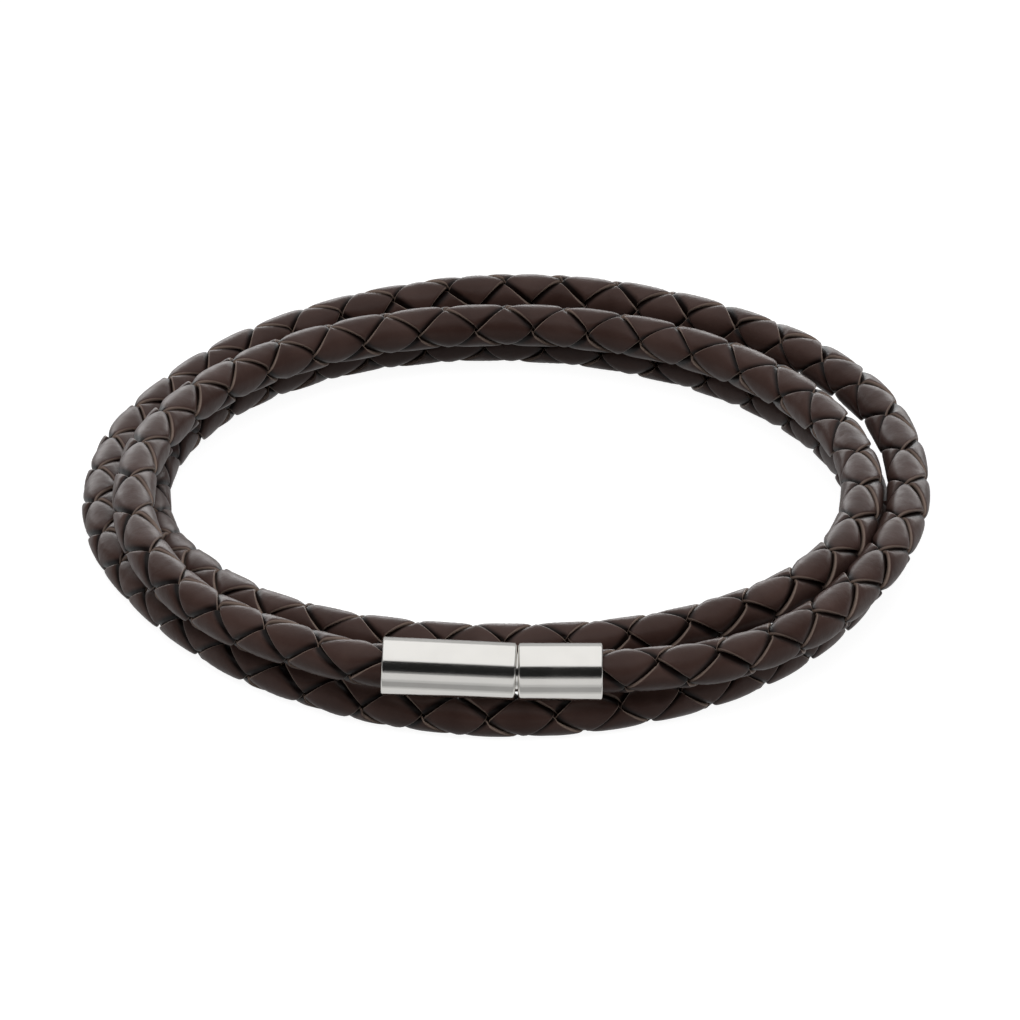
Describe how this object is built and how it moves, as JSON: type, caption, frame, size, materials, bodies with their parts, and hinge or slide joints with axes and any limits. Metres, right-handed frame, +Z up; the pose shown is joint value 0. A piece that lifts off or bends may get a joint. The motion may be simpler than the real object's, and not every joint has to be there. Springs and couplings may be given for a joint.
{
  "type": "braided leather bracelet",
  "caption": "Round braided leather cord wound in a triple coil for the wrist and closed by a polished steel tube clasp.",
  "frame": {"origin": "middle of the bracelet's outline seen from above, on the surface that it lies on", "axes": "+Z up out of the coil, along the wrist; -Y towards the clasp at the front; +X to the right, where the plug's sleeve points"},
  "size_m": [0.0742, 0.0782, 0.0093],
  "materials": {
    "leather": "satin, dark brown",
    "clasp_steel": "polished"
  },
  "bodies": {
    "root": {"braided_cord": "leather", "clasp_socket": "clasp_steel", "clasp_plug": "clasp_steel"}
  },
  "joints": []
}
